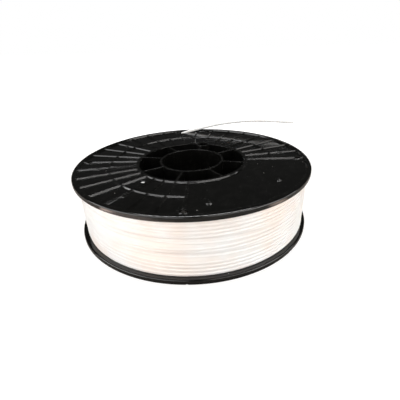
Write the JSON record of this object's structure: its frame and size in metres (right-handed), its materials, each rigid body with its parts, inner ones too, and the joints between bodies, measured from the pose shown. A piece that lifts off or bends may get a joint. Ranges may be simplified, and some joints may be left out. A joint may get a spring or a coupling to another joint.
{
  "type": "filament spool",
  "caption": "Two-part moulded spool with ribbed flanges and a webbed hub, wound full with white printer filament whose free end stands off the rim.",
  "frame": {"origin": "middle of the bore at the face of the lower rim that the spool stands on", "axes": "+Z along the bore from the lower flange to the upper one, +X through the driving hole"},
  "size_m": [0.2001, 0.2, 0.0658],
  "materials": {
    "moulded_spool": "satin black injection-moulded plastic",
    "filament": "smooth white extruded plastic"
  },
  "bodies": {
    "root": {"lower_spool_half": "moulded_spool", "upper_spool_half": "moulded_spool", "filament_winding": "filament", "filament_start_end": "filament", "filament_free_end": "filament"}
  },
  "joints": []
}
